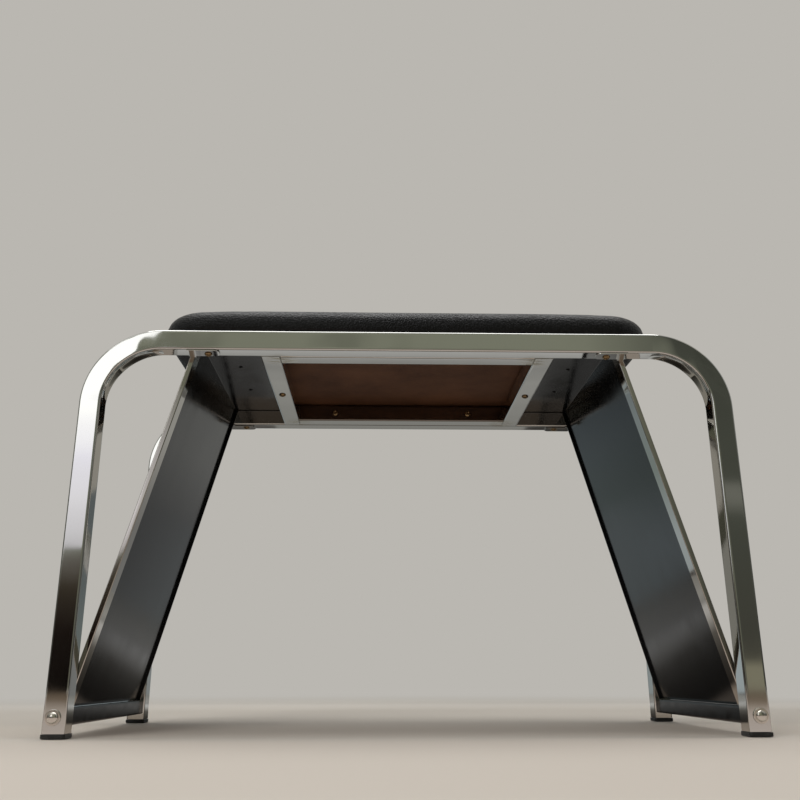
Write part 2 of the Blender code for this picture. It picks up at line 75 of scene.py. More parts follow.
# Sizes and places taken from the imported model
ARCH_LOW, ARCH_HIGH = span("front_arch")
TUBE = ARCH_HIGH[1] - ARCH_LOW[1]
LEG_X = ARCH_HIGH[0] - TUBE / 2
RAIL_TOP = ARCH_HIGH[2]
RAIL_LOW, RAIL_HIGH = span("right_bottom_rail")
PANEL_UNDER = span("right_mirror_panel")[0][2]
PANEL_TOP = span("right_mirror_panel")[1][2]
PANEL_HALF = span("right_mirror_panel")[1][1]
FLANGE_END, FLANGE_TOP = span("right_backing_sheet")[0][0], span("right_backing_sheet")[1][2]
PAD_LOW, PAD_HIGH = span("seat_cover")
BOARD_LOW, BOARD_HIGH = span("seat_board")

# Tubes
CLEARANCE = 0.0003
TUBE_WALL = 0.0012
TUBE_CORNER = 0.0020
RAIL_CORNER = 0.0015
BEND_RADIUS = 0.064
BEND_DISH = 0.0025
BEND_FLAT = 0.0004
BEND_LEAN = 0.0004
BEND_BULGE = 0.00035
BULGE_LENGTH = 0.033
BULGE_SWING = 0.4
CREASE_SHARE = 0.06
CREASE_LENGTH = 0.024
RIPPLE_DEPTH = 0.00004
RIPPLE_LENGTHS = np.array([0.041, 0.067, 0.113])
RIPPLE_PHASES = np.array([1.0, 2.3, 3.7])
WALL_PHASE = 1.9
LEG_STEPS, BEND_STEPS, RAIL_STEPS, BAR_STEPS = 48, 90, 40, 40
TUBE_ARC_STEPS, TUBE_SIDE_STEPS = 7, 12

# Seat frame: how far its welds, bars and members lie from the middle of the bench
WELD_PLACE = (0.128, 0.1137, 0.356)
WELD_NEAR, WELD_FAR = 0.006, 0.020
BAR_MIDDLE, BAR_HALF = 0.138, 0.0106
MEMBER_INSIDE = 0.1042

# Sheets
PANEL_HEAD_X = 0.2117
PANEL_FOLD = 0.005
PANEL_RETURN = 0.015
PANEL_SHEET = 0.0008
PANEL_FOLD_RADIUS = 0.0001
BACKING = 0.0010
BACKING_BEND = 0.0010
FOLD_STEPS, CORNER_STEPS = 8, 10
END_FACE = 0.9
PANEL_LEAN = ((RAIL_LOW[0] + RAIL_HIGH[0]) / 2 - PANEL_HEAD_X) / (RAIL_TOP - PANEL_UNDER)
PANEL_SLANT = math.sqrt(1 + PANEL_LEAN ** 2)

# Ears
EAR_WIDTH = 0.016
EAR_TIP = 0.0055
EAR_NECK = 0.0065
EAR_EDGE = 0.0002

# Foot caps
FOOT_LIP = 0.0038
FOOT_EDGE = 0.0009
FOOT_RIB = 0.0006
FOOT_SIDE_STEPS = 4

# Fasteners
BOLT_FLANGE, BOLT_FLANGE_THICK = 0.0135, 0.0009
BOLT_DOME, BOLT_DOME_HIGH, BOLT_SHANK = 0.0098, 0.0030, 0.0058
BOLT_EDGE = 0.0004
SCREW_HEAD, SCREW_HEAD_HIGH, SCREW_SHANK = 0.0076, 0.0019, 0.0036
SMALL_HEAD, SMALL_HEAD_HIGH = 0.0040, 0.0009
RECESS_WIDTH, RECESS_REACH, RECESS_DEPTH = 0.0012, 0.0024, 0.0011
RECESS_WALL, RECESS_FULL = 0.3, 1.2
HEAD_EVEN = 0.9
FIRST_TURN, NEXT_TURN, TURNED_STEPS = 0.3, 0.83, 72

# Seat pad
PAD_CORNER = 0.046
PAD_PULL = 0.0012
PAD_SIDE = 0.0105
PAD_SHOULDER = 0.0200
PAD_SHOULDER_TURN = math.radians(82)
PAD_TUCK = 0.0055
PAD_SLACK = 0.0010
PAD_SWELL_CAP = 0.0022
PAD_CORNER_DROP = 0.0040
PAD_CORNER_SHARE = 0.375
PAD_LEAST_CORNER = 0.006
PAD_MIDDLE = 0.012
PAD_SIDE_STEPS = 14
PAD_VOXEL = 0.0043
PAD_PRESSURE = 4.0
SWELL_FRAMES, HOLD_LEVELS = 20, 10
COVER = 0.0010
COVER_WRAP = 0.027
COVER_ARC_STEPS, COVER_SIDE_STEPS = 60, 400
UNDERSIDE_BAND = 0.002
BOARD_EASE = 0.0004
FOAM_EASE = 0.0012

# Meshes, with folds in degrees
MERGE_WITHIN, CUT_WITHIN = 0.000002, 0.000001
SHARP_FOLD, FOAM_FOLD = 35, 50

# Range that the noise of a finish mostly keeps to
SPREAD = {"From Min": 0.3, "From Max": 0.7}

# Camera, with turns in degrees and film in millimetres
CAMERA_PLACE = (-0.03104, -0.94469, 0.05112)
CAMERA_PITCH, CAMERA_YAW, CAMERA_ROLL = 17.538, 1.593, -0.092
CAMERA_LENS, CAMERA_SENSOR = 39.26, 36.0

# Studio
BACKGROUND = "#BAB7B1"
FLOOR = "#C8C0B4"
FLOOR_HALF, FLOOR_DROP = 9, 0.0004
FLOOR_CLEAR, FLOOR_GONE = 0.5, 1.7
PATCH = 0.30


def colour(text):
    """Linear RGBA of an sRGB hex colour."""
    parts = np.array([int(text[start:start + 2], 16) for start in (1, 3, 5)]) / 255
    linear = np.where(parts <= 0.04045, parts / 12.92, ((parts + 0.055) / 1.055) ** 2.4)
    return (*linear.tolist(), 1.0)


def add_node(tree, kind, inputs, output=0, **settings):
    """Add a node with its settings and links and return one of its outputs.

    Inputs pairs a socket's name or number with a socket to link, a number, a vector or a hex colour."""
    made = tree.nodes.new("ShaderNode" + kind)
    for key, value in settings.items():
        setattr(made, key, value)
    for key, value in inputs.items():
        if isinstance(value, bpy.types.NodeSocket):
            tree.links.new(value, made.inputs[key])
        else:
            made.inputs[key].default_value = colour(value) if isinstance(value, str) else value
    return made.outputs[output]


def new_finish(name, base, roughness, **even):
    """A Principled finish with its even values set.

    Returns the material, its node tree, the finish's sockets and the object coordinates."""
    material = bpy.data.materials.new(name)
    material.use_nodes = True
    tree = material.node_tree
    sockets = tree.nodes["Principled BSDF"].inputs
    sockets["Base Color"].default_value = colour(base)
    sockets["Roughness"].default_value = roughness
    for key, value in even.items():
        sockets[key.replace("_", " ")].default_value = value
    return material, tree, sockets, add_node(tree, "TexCoord", {}, "Object")


def finished(material, sockets, **drawn):
    """Link drawn values to the sockets of a finish and return its material."""
    for key, socket in drawn.items():
        material.node_tree.links.new(socket, sockets[key.replace("_", " ")])
    return material


def chromed_tube():
    """Steel tube, ground, polished and chrome plated: a clear mirror with faint haze from polishing.

    Where bars and members meet, the ground welds stay dull, a little brown and scratched across the bar. The
    members' faces inside the seat frame, away from the bars, get a darker, brownish tone: painted shade that
    stands in for the dark underside they mirror."""
    material, tree, sockets, place = new_finish("chromed_tube", "#CFCFCB", 0.05, Metallic=1.0)
    haze = add_node(tree, "TexNoise", {"Vector": place, "Scale": 1 / 0.050, "Detail": 4.0})
    folded = add_node(tree, "VectorMath", {0: place}, operation="ABSOLUTE")
    apart = add_node(tree, "VectorMath", {0: folded, 1: WELD_PLACE}, "Value", operation="DISTANCE")
    near = add_node(tree, "MapRange", {"Value": apart, "From Min": WELD_FAR, "From Max": WELD_NEAR})
    drawn = add_node(tree, "Mapping", {"Vector": place, "Scale": (0.15, 1.0, 1.0)})
    scratch = add_node(tree, "TexNoise", {"Vector": drawn, "Scale": 1 / 0.0022, "Detail": 5.0})
    patch = add_node(tree, "MapRange", {"Value": scratch, "From Min": 0.38, "From Max": 0.62})
    weld = add_node(tree, "Math", {0: near, 1: patch}, operation="MULTIPLY")
    clear = add_node(tree, "MapRange", {"Value": haze, **SPREAD, "To Min": 0.035, "To Max": 0.075})
    rough = add_node(tree, "Math", {0: weld, 1: 0.24, 2: clear}, operation="MULTIPLY_ADD")
    tone = add_node(tree, "Mix", {0: weld, 6: "#CDCDC9", 7: "#ADA48F"}, 2, data_type="RGBA")
    # The members' inner faces away from the bars get a darker tone: painted shade for the dark underside they
    # mirror
    away = add_node(tree, "SeparateXYZ", {0: folded}).node.outputs
    bars = add_node(tree, "Math", {0: away["X"], 1: BAR_MIDDLE, 2: BAR_HALF}, operation="COMPARE")
    within = add_node(tree, "Math", {0: away["Y"], 1: MEMBER_INSIDE}, operation="LESS_THAN")
    painted_shade_inside = add_node(tree, "Math", {0: within, 1: bars}, operation="SUBTRACT", use_clamp=True)
    tone = add_node(tree, "Mix", {0: painted_shade_inside, 6: tone, 7: "#7C736B"}, 2, data_type="RGBA")
    return finished(material, sockets, Roughness=rough, Base_Color=tone)


def mirror_steel():
    """Mirror-polished stainless sheet: a clear reflection with a little cloudiness from cleaning."""
    material, tree, sockets, place = new_finish("mirror_steel", "#C6C2BB", 0.05, Metallic=1.0)
    drawn = add_node(tree, "Mapping", {"Vector": place, "Scale": (1.0, 3.0, 1.0)})
    wiped = add_node(tree, "TexNoise", {"Vector": drawn, "Scale": 1 / 0.030, "Detail": 5.0})
    cloud = add_node(tree, "MapRange", {"Value": wiped, **SPREAD, "To Min": 0.03, "To Max": 0.085})
    return finished(material, sockets, Roughness=cloud)


def black_coated_sheet():
    """Steel sheet with a smooth black powder coat: semi-gloss, with soft streaks from wiping down."""
    material, tree, sockets, place = new_finish("black_coated_sheet", "#0A0B0C", 0.15, IOR=1.37)
    drawn = add_node(tree, "Mapping", {"Vector": place, "Scale": (1.0, 1.0, 0.25)})
    streaks = add_node(tree, "TexNoise", {"Vector": drawn, "Scale": 1 / 0.020, "Detail": 5.0})
    gloss = add_node(tree, "MapRange", {"Value": streaks, **SPREAD, "To Min": 0.11, "To Max": 0.19})
    tone = add_node(tree, "Mix", {0: streaks, 6: "#070809", 7: "#0E0F10"}, 2, data_type="RGBA")
    return finished(material, sockets, Roughness=gloss, Base_Color=tone)


def black_enamel():
    """Stove enamel on steel: black and glossy, with faint orange peel about 2 mm across and a little dust."""
    material, tree, sockets, place = new_finish("black_enamel", "#0A0A0A", 0.18, Specular_IOR_Level=0.22)
    peel = add_node(tree, "TexNoise", {"Vector": place, "Scale": 1 / 0.0022, "Detail": 2.0})
    bump = add_node(tree, "Bump", {"Height": peel, "Distance": 0.000006, "Strength": 1.0})
    dust = add_node(tree, "TexNoise", {"Vector": place, "Scale": 1 / 0.014, "Detail": 6.0})
    dull = add_node(tree, "MapRange", {"Value": dust, **SPREAD, "To Min": 0.12, "To Max": 0.22})
    lying = add_node(tree, "MapRange", {"Value": dust, "From Min": 0.5, "From Max": 0.8})
    tone = add_node(tree, "Mix", {0: lying, 6: "#080808", 7: "#0F0E0E"}, 2, data_type="RGBA")
    return finished(material, sockets, Normal=bump, Roughness=dull, Base_Color=tone)


def moulded_polythene():
    """Black polythene, moulded in a spark-eroded tool: satin, with a fine even grain and scuffed edges."""
    material, tree, sockets, place = new_finish("moulded_polythene", "#121212", 0.45)
    # The grain is about 0.1 mm on the real cap and is drawn at 0.4 mm so that it shows
    grain = add_node(tree, "TexNoise", {"Vector": place, "Scale": 1 / 0.0004, "Detail": 1.0})
    bump = add_node(tree, "Bump", {"Height": grain, "Distance": 0.00002, "Strength": 1.0})
    scuff = add_node(tree, "TexNoise", {"Vector": place, "Scale": 1 / 0.003, "Detail": 6.0})
    worn = add_node(tree, "MapRange", {"Value": scuff, "From Min": 0.5, "From Max": 0.75})
    tone = add_node(tree, "Mix", {0: worn, 6: "#101010", 7: "#262523"}, 2, data_type="RGBA")
    return finished(material, sockets, Normal=bump, Base_Color=tone)


def pebbled_leatherette():
    """PVC leathercloth, embossed with pebbles about 1.8 mm across: satin tops, dull valleys."""
    material, tree, sockets, place = new_finish("pebbled_leatherette", "#0A0A0B", 0.4,
                                                Specular_IOR_Level=0.28)
    shift = add_node(tree, "TexNoise", {"Vector": place, "Scale": 1 / 0.004, "Detail": 2.0}, "Color")
    uneven = add_node(tree, "VectorMath", {0: shift, 1: (0.0005,) * 3, 2: place},
                      operation="MULTIPLY_ADD")
    pebbles = add_node(tree, "TexVoronoi", {"Vector": uneven, "Scale": 1 / 0.0018, "Smoothness": 0.3},
                       feature="SMOOTH_F1")
    height = add_node(tree, "MapRange", {"Value": pebbles, "From Min": 0.1, "From Max": 0.75,
                                         "To Min": 1.0, "To Max": 0.0})
    bump = add_node(tree, "Bump", {"Height": height, "Distance": 0.00033, "Strength": 1.0})
    worn = add_node(tree, "TexNoise", {"Vector": place, "Scale": 1 / 0.060, "Detail": 3.0})
    base = add_node(tree, "MapRange", {"Value": worn, **SPREAD, "To Min": 0.48, "To Max": 0.58})
    rough = add_node(tree, "Math", {0: height, 1: -0.22, 2: base}, operation="MULTIPLY_ADD")
    # Pebble tops are painted lighter and valleys darker: painted sheen on the tops and painted shade in the
    # valleys
    tone = add_node(tree, "Mix", {0: height, 6: "#010102", 7: "#08080A"}, 2, data_type="RGBA")
    return finished(material, sockets, Normal=bump, Roughness=rough, Base_Color=tone)


def open_cell_foam():
    """Polyurethane foam, cut from a block: dull cream with open cells, drawn at 1.5 mm so that they show."""
    material, tree, sockets, place = new_finish("open_cell_foam", "#DCCB9E", 0.9)
    cells = add_node(tree, "TexVoronoi", {"Vector": place, "Scale": 1 / 0.0015})
    bump = add_node(tree, "Bump", {"Height": cells, "Distance": 0.0003, "Strength": 1.0})
    # The cells are painted darker towards their middles, where the bump sinks them: painted shade in the open
    # cells
    tone = add_node(tree, "Mix", {0: cells, 6: "#C9B684", 7: "#E2D3A9"}, 2, data_type="RGBA")
    return finished(material, sockets, Normal=bump, Base_Color=tone)


def pressed_hardboard():
    """Pressed wood-fibre board: brown and dull, with fibres a few millimetres long and large soft stains."""
    material, tree, sockets, place = new_finish("pressed_hardboard", "#5B3A25", 0.7, Specular_IOR_Level=0.15)
    drawn = add_node(tree, "Mapping", {"Vector": place, "Scale": (0.33, 1.0, 1.0)})
    fibres = add_node(tree, "TexNoise", {"Vector": drawn, "Scale": 1 / 0.0016, "Detail": 6.0})
    stains = add_node(tree, "TexNoise", {"Vector": place, "Scale": 1 / 0.050, "Detail": 3.0})
    both = add_node(tree, "Math", {0: fibres, 1: 0.45, 2: stains}, operation="MULTIPLY_ADD")
    share = add_node(tree, "MapRange", {"Value": both, "From Min": 0.5, "From Max": 0.95})
    tone = add_node(tree, "Mix", {0: share, 6: "#4F3220", 7: "#66432C"}, 2, data_type="RGBA")
    bump = add_node(tree, "Bump", {"Height": fibres, "Distance": 0.00005, "Strength": 1.0})
    return finished(material, sockets, Base_Color=tone, Normal=bump)


def nickel_plate():
    """Bright nickel-plated steel: slightly warm, with a faint haze."""
    material, tree, sockets, place = new_finish("nickel_plate", "#D3CEC4", 0.16, Metallic=1.0)
    haze = add_node(tree, "TexNoise", {"Vector": place, "Scale": 1 / 0.002, "Detail": 4.0})
    dull = add_node(tree, "MapRange", {"Value": haze, **SPREAD, "To Min": 0.12, "To Max": 0.24})
    return finished(material, sockets, Roughness=dull)


def yellow_zinc():
    """Zinc-plated screw with a yellow passivated skin: dull, brownish, with uneven stains."""
    material, tree, sockets, place = new_finish("yellow_zinc", "#9C8460", 0.25, Metallic=1.0)
    stain = add_node(tree, "TexNoise", {"Vector": place, "Scale": 1 / 0.0025, "Detail": 4.0})
    share = add_node(tree, "MapRange", {"Value": stain, **SPREAD})
    dull = add_node(tree, "Math", {0: share, 1: 0.14, 2: 0.16}, operation="MULTIPLY_ADD")
    tone = add_node(tree, "Mix", {0: share, 6: "#A68E68", 7: "#876F50"}, 2, data_type="RGBA")
    return finished(material, sockets, Roughness=dull, Base_Color=tone)


def plain_steel():
    """Machined steel, oiled and left plain: grey with fine tool marks."""
    material, tree, sockets, place = new_finish("plain_steel", "#9A9A98", 0.4, Metallic=1.0)
    drawn = add_node(tree, "Mapping", {"Vector": place, "Scale": (0.17, 1.0, 1.0)})
    marks = add_node(tree, "TexNoise", {"Vector": drawn, "Scale": 1 / 0.0012, "Detail": 3.0})
    dull = add_node(tree, "MapRange", {"Value": marks, **SPREAD, "To Min": 0.3, "To Max": 0.5})
    return finished(material, sockets, Roughness=dull)


FINISHES = {"polished_tube": chromed_tube(), "mirror_sheet": mirror_steel(),
            "black_sheet": black_coated_sheet(), "black_paint": black_enamel(),
            "foot_plastic": moulded_polythene(), "leatherette": pebbled_leatherette(),
            "foam": open_cell_foam(), "hardboard": pressed_hardboard(),
            "foot_bolt": nickel_plate(), "screw": yellow_zinc(), "plain_steel": plain_steel()}


def new_object(name, data):
    """A new object, placed in the scene."""
    obj = bpy.data.objects.new(name, data)
    bpy.context.scene.collection.objects.link(obj)
    return obj


def values(items, key, width=3, kind=float):
    """One value of each of a mesh's items, as the rows of an array."""
    flat = np.empty(len(items) * width, dtype=kind)
    items.foreach_get(key, flat)
    return flat.reshape(-1, width)


def grid_quads(rows, columns, closed_rows, closed_columns):
    """Corner numbers of the quads of a grid, joined end to start along rows or columns where closed."""
    row = np.arange(rows if closed_rows else rows - 1)[:, None]
    column = np.arange(columns if closed_columns else columns - 1)
    below, right = (row + 1) % rows, (column + 1) % columns
    corners = (row * columns + column, row * columns + right,
               below * columns + right, below * columns + column)
    return np.stack(np.broadcast_arrays(*corners), axis=-1).reshape(-1, 4).tolist()


def dress(name, mesh, slot, nodes):
    """A piece from a mesh: finished, riding on the bench and standing for the nodes it replaces."""
    obj = new_object(name, mesh)
    mesh.materials.append(FINISHES[slot])
    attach(obj, "root")
    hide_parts(*nodes)
    return obj


def add_surface(name, grid, slot, nodes, closed_rows=False):
    """A piece from a grid of points: columns run round it; rows join up end to start or get end faces.

    Points that fall together, as at a pole, are merged, and sharp folds stay sharp."""
    rows, columns = grid.shape[:2]
    faces = grid_quads(rows, columns, closed_rows, True)
    if not closed_rows:
        last = (rows - 1) * columns
        faces += [list(range(columns)), list(range(last, last + columns))]
    mesh = bpy.data.meshes.new(name)
    mesh.from_pydata(grid.reshape(-1, 3).tolist(), [], faces)
    bm = bmesh.new()
    bm.from_mesh(mesh)
    bmesh.ops.remove_doubles(bm, verts=bm.verts, dist=MERGE_WITHIN)
    bmesh.ops.recalc_face_normals(bm, faces=bm.faces)
    bm.to_mesh(mesh)
    bm.free()
    mesh.shade_smooth()
    mesh.set_sharp_from_angle(angle=math.radians(SHARP_FOLD))
    obj = dress(name, mesh, slot, nodes)
    even = obj.modifiers.new("even_shading", "WEIGHTED_NORMAL")
    even.keep_sharp = True
    return obj


def rounded_rectangle(half_a, half_b, radius, arc_steps, side_steps):
    """Outline of a rectangle with round corners: four quarter circles joined by evenly spaced side points."""
    turn = np.arange(4)[:, None] * np.pi / 2 + np.linspace(0, np.pi / 2, arc_steps + 1)
    centre = np.array([[1, 1], [-1, 1], [-1, -1], [1, -1]]) * (half_a - radius, half_b - radius)
    arcs = centre[:, None] + radius * np.stack([np.cos(turn), np.sin(turn)], axis=-1)
    way = np.roll(arcs[:, 0], -1, axis=0) - arcs[:, -1]
    share = np.arange(1, side_steps)[:, None] / side_steps
    sides = arcs[:, -1:] + way[:, None] * share
    return np.concatenate([arcs, sides], axis=1).reshape(-1, 2)


def rounded_corners(corners, steps):
    """Outline through corners of x, y and radius; a radius gives an arc that touches both of its sides."""
    points = np.array([corner[:2] for corner in corners], dtype=float)
    parts = []
    for index, radius in enumerate(corner[2] for corner in corners):
        corner = points[index]
        back = points[index - 1] - corner
        ahead = points[(index + 1) % len(points)] - corner
        back, ahead = back / np.linalg.norm(back), ahead / np.linalg.norm(ahead)
        half = math.acos(np.clip(back @ ahead, -1, 1)) / 2
        middle = (back + ahead) / np.linalg.norm(back + ahead)
        side = (back - ahead) / np.linalg.norm(back - ahead)
        turn = np.linspace(half - np.pi / 2, np.pi / 2 - half, steps + 1)[:, None]
        centre = corner + middle * radius / math.sin(half)
        arc = centre - radius * (middle * np.cos(turn) + side * np.sin(turn))
        parts.append(arc if radius else corner[None])
    return np.concatenate(parts)


def raised(plans, heights):
    """Grid of plan outlines, one to a row, each at its height."""
    plans = np.array(plans)
    return np.stack(np.broadcast_arrays(plans[..., 0], plans[..., 1], np.array(heights)[:, None]), axis=-1)


def ripple(run, phase):
    """Slow waviness of a drawn tube's wall: the mean of three sine waves of unlike length along the run."""
    waves = 2 * np.pi * run[:, None] / RIPPLE_LENGTHS + phase * RIPPLE_PHASES
    return RIPPLE_DEPTH * np.sin(waves).mean(axis=1)[:, None]


def tube_sections(side, corner):
    """Outer and inner outline of a square tube, with equal point counts."""
    half = side / 2
    inner = half - TUBE_WALL
    steps = TUBE_ARC_STEPS, TUBE_SIDE_STEPS
    return (rounded_rectangle(half, half, corner, *steps),
            rounded_rectangle(inner, inner, corner - TUBE_WALL, *steps))


def arch_path(foot):
    """Stations along a bent tube from the left foot to the right: place and outward way in X and Z, and bend.

    The left half goes up the leg, round a quarter circle and along the rail to the middle; the right half is
    its mirror image. Bend is the sine of twice the turn, so it is nothing on the straights."""
    turn = np.concatenate([np.zeros(LEG_STEPS), np.linspace(0, np.pi / 2, BEND_STEPS + 1),
                           np.full(RAIL_STEPS, np.pi / 2)])
    outward = np.stack([-np.cos(turn), np.sin(turn)], axis=1)
    centre = np.array([BEND_RADIUS - LEG_X, RAIL_TOP - TUBE / 2 - BEND_RADIUS])
    place = centre + BEND_RADIUS * outward
    place[:LEG_STEPS, 1] = np.linspace(foot, centre[1], LEG_STEPS, endpoint=False)
    place[-RAIL_STEPS:, 0] = np.linspace(centre[0], 0, RAIL_STEPS + 1)[1:]
    flip = np.array([-1, 1])
    place = np.concatenate([place, (place * flip)[-2::-1]])
    outward = np.concatenate([outward, (outward * flip)[-2::-1]])
    bend = np.sin(2 * turn)
    return place, outward, np.concatenate([bend, bend[-2::-1]])


def arch_wall(path, section, y, phase):
    """Grid of one skin of an arch.

    Section point a, b goes to place + a * outward in X and Z, and to y + b in Y. In a bend the inner wall
    is drawn in by a squared cosine across it, with creases along it as a sine of the run; the outer wall
    flattens a little. The side walls lean out at their inner edge and bulge by a parabola across them that
    swings along the run."""
    place, outward, bend = path
    run = np.concatenate([[0], np.cumsum(np.linalg.norm(np.diff(place, axis=0), axis=1))])
    half = np.abs(section).max()
    a, b = section[:, 0] / half, section[:, 1] / half
    bend = bend[:, None]
    across = np.cos(np.pi / 2 * b) ** 2
    crease = 1 + CREASE_SHARE * np.sin(2 * np.pi * run / CREASE_LENGTH)[:, None]
    drawn = BEND_DISH * bend * crease * ((1 - a) / 2) ** 4 * across
    flat = -BEND_FLAT * bend * ((1 + a) / 2) ** 4 * across
    lean = -BEND_LEAN * bend * a * np.sign(b) * np.abs(b) ** 4
    swing = 1 - BULGE_SWING + BULGE_SWING * np.sin(2 * np.pi * run / BULGE_LENGTH)[:, None]
    bulge = BEND_BULGE * bend * swing * (1 - a ** 2) * np.sign(b) * np.abs(b) ** 4
    out = half * a + drawn + flat + ripple(run, phase) * np.sign(a) * np.abs(a) ** 6
    aside = half * b + lean + bulge + ripple(run, phase + WALL_PHASE) * np.sign(b) * np.abs(b) ** 6
    x, z = (place[:, [axis]] + outward[:, [axis]] * out for axis in (0, 1))
    return np.stack([x, y + aside, z], axis=-1)


def straight_wall(low, high, axis, section, phase):
    """Grid of one skin of a straight tube: the section carried along an axis of its box, with waviness."""
    run = np.linspace(low[axis], high[axis], BAR_STEPS)
    half = np.abs(section).max()
    grid = np.empty((BAR_STEPS, len(section), 3))
    grid[..., axis] = run[:, None]
    for column, other in enumerate(index for index in range(3) if index != axis):
        share = section[:, column] / half
        wave = ripple(run, phase + WALL_PHASE * column) * np.sign(share) * np.abs(share) ** 6
        grid[..., other] = (low[other] + high[other]) / 2 + section[:, column] + wave
    return grid


def make_arches():
    """Two bent tubes, open at the feet: along the outer skin, round the end, back along the inner skin."""
    outer, inner = tube_sections(TUBE, TUBE_CORNER)
    for phase, face in enumerate(FACES):
        node = face + "_arch"
        low, high = span(node)
        path, y = arch_path(low[2]), (low[1] + high[1]) / 2
        grid = np.concatenate([arch_wall(path, outer, y, phase), arch_wall(path, inner, y, phase)[::-1]])
        add_surface(node + "_tube", grid, "polished_tube", [node], closed_rows=True)


def make_straight_tubes():
    """Bars and members of the seat frame, and the bottom rails between the feet."""
    tubes = [(f"seat_frame_{side}_bar", 1, TUBE_CORNER, "polished_tube") for side in SIDES]
    tubes += [(f"seat_frame_{face}_member", 0, TUBE_CORNER, "polished_tube") for face in FACES]
    tubes += [(f"{side}_bottom_rail", 1, RAIL_CORNER, "black_paint") for side in SIDES]
    for phase, (node, axis, corner, slot) in enumerate(tubes):
        low, high = span(node)
        outer, inner = tube_sections(high[2] - low[2], corner)
        grid = np.concatenate([straight_wall(low, high, axis, outer, phase),
                               straight_wall(low, high, axis, inner, phase)[::-1]])
        add_surface(node + "_tube", grid, slot, [node], closed_rows=True)


def panel_x(height, inward=0.0):
    """Distance from the middle to the panel's outer face at a height, less a depth square to that face."""
    return PANEL_HEAD_X + PANEL_LEAN * (RAIL_TOP - height) - inward * PANEL_SLANT


def blacken_inside(obj, sign):
    """Give the black coat to the faces inside the folds: all but the outer face, the edges and the return."""
    faces, skin = obj.data.polygons, PANEL_SHEET / 2
    centre, normal = values(faces, "center"), values(faces, "normal")
    depth = (panel_x(centre[:, 2]) - sign * centre[:, 0]) / PANEL_SLANT
    inside = (depth > skin) & (depth < PANEL_FOLD - skin) & (np.abs(normal[:, 2]) < END_FACE)
    inside &= np.abs(centre[:, 1]) < PANEL_HALF - skin
    obj.data.materials.append(FINISHES["black_sheet"])
    faces.foreach_set("material_index", inside.astype(np.int32))


def make_mirror_panels():
    """Each panel is a folded outline of depth and width carried straight down the slope.

    The front edge is folded twice into a narrow return; the rear edge is folded once."""
    depth, sheet = PANEL_FOLD * PANEL_SLANT, PANEL_SHEET * PANEL_SLANT
    bend, outer = PANEL_FOLD_RADIUS, PANEL_FOLD_RADIUS + PANEL_SHEET
    half, inside, lip = PANEL_HALF, PANEL_HALF - PANEL_SHEET, PANEL_RETURN - PANEL_HALF
    outline = rounded_corners([(0, half, outer), (depth, half, 0), (depth, inside, 0), (sheet, inside, bend),
                               (sheet, -inside, bend), (depth - sheet, -inside, bend),
                               (depth - sheet, lip, 0), (depth, lip, 0), (depth, -half, outer),
                               (0, -half, outer)], FOLD_STEPS)
    height = np.array([PANEL_TOP, PANEL_UNDER])[:, None]
    for side, sign in SIDES.items():
        x = sign * (panel_x(height) - outline[:, 0])
        grid = np.stack(np.broadcast_arrays(x, outline[:, 1], height), axis=-1)
        node = side + "_mirror_panel"
        blacken_inside(add_surface(node + "_sheet", grid, "mirror_sheet", [node]), sign)


def make_backing_sheets():
    """Each sheet is a bent outline in X and Z carried straight along Y."""
    near, far = PANEL_SHEET + CLEARANCE, PANEL_SHEET + CLEARANCE + BACKING
    under, foot = FLANGE_TOP - BACKING, PANEL_UNDER + CLEARANCE
    outline = rounded_corners([(panel_x(foot, near), foot, 0),
                               (panel_x(FLANGE_TOP, near), FLANGE_TOP, BACKING_BEND + BACKING),
                               (FLANGE_END, FLANGE_TOP, 0), (FLANGE_END, under, 0),
                               (panel_x(under, far), under, BACKING_BEND),
                               (panel_x(foot, far), foot, 0)], CORNER_STEPS)
    half = PANEL_HALF - PANEL_SHEET - CLEARANCE
    for side, sign in SIDES.items():
        parts = sign * outline[:, 0], np.array([[-half], [half]]), outline[:, 1]
        node = side + "_backing_sheet"
        add_surface(node + "_bent", np.stack(np.broadcast_arrays(*parts), axis=-1), "black_sheet", [node])


def make_ears():
    """Each ear is an L-shaped outline in X and Y, carried up through its thickness with eased edges."""
    ease = np.array([EAR_EDGE, 0, 0, EAR_EDGE])
    for face, y_sign in FACES.items():
        for side, x_sign in SIDES.items():
            node = f"ear_{face}_{side}"
            low, high = span(node)
            tip, root = np.minimum(np.abs(low), np.abs(high))[:2]
            end, outer = np.maximum(np.abs(low), np.abs(high))[:2]
            inner, neck = outer - EAR_WIDTH, end - EAR_NECK
            plans = [rounded_corners([(end - step, outer - step, 0),
                                      (tip + step, outer - step, EAR_TIP - step),
                                      (tip + step, inner + step, EAR_TIP - step),
                                      (neck + step, inner + step, 0), (neck + step, root + step, 0),
                                      (end - step, root + step, 0)], CORNER_STEPS)
                     for step in ease]
            heights = np.array([low[2], low[2], high[2], high[2]]) + (EAR_EDGE - ease) * (0, 1, -1, 0)
            grid = raised(np.array(plans) * (x_sign, y_sign), heights)
            add_surface(node + "_cut", grid, "polished_tube", [node])


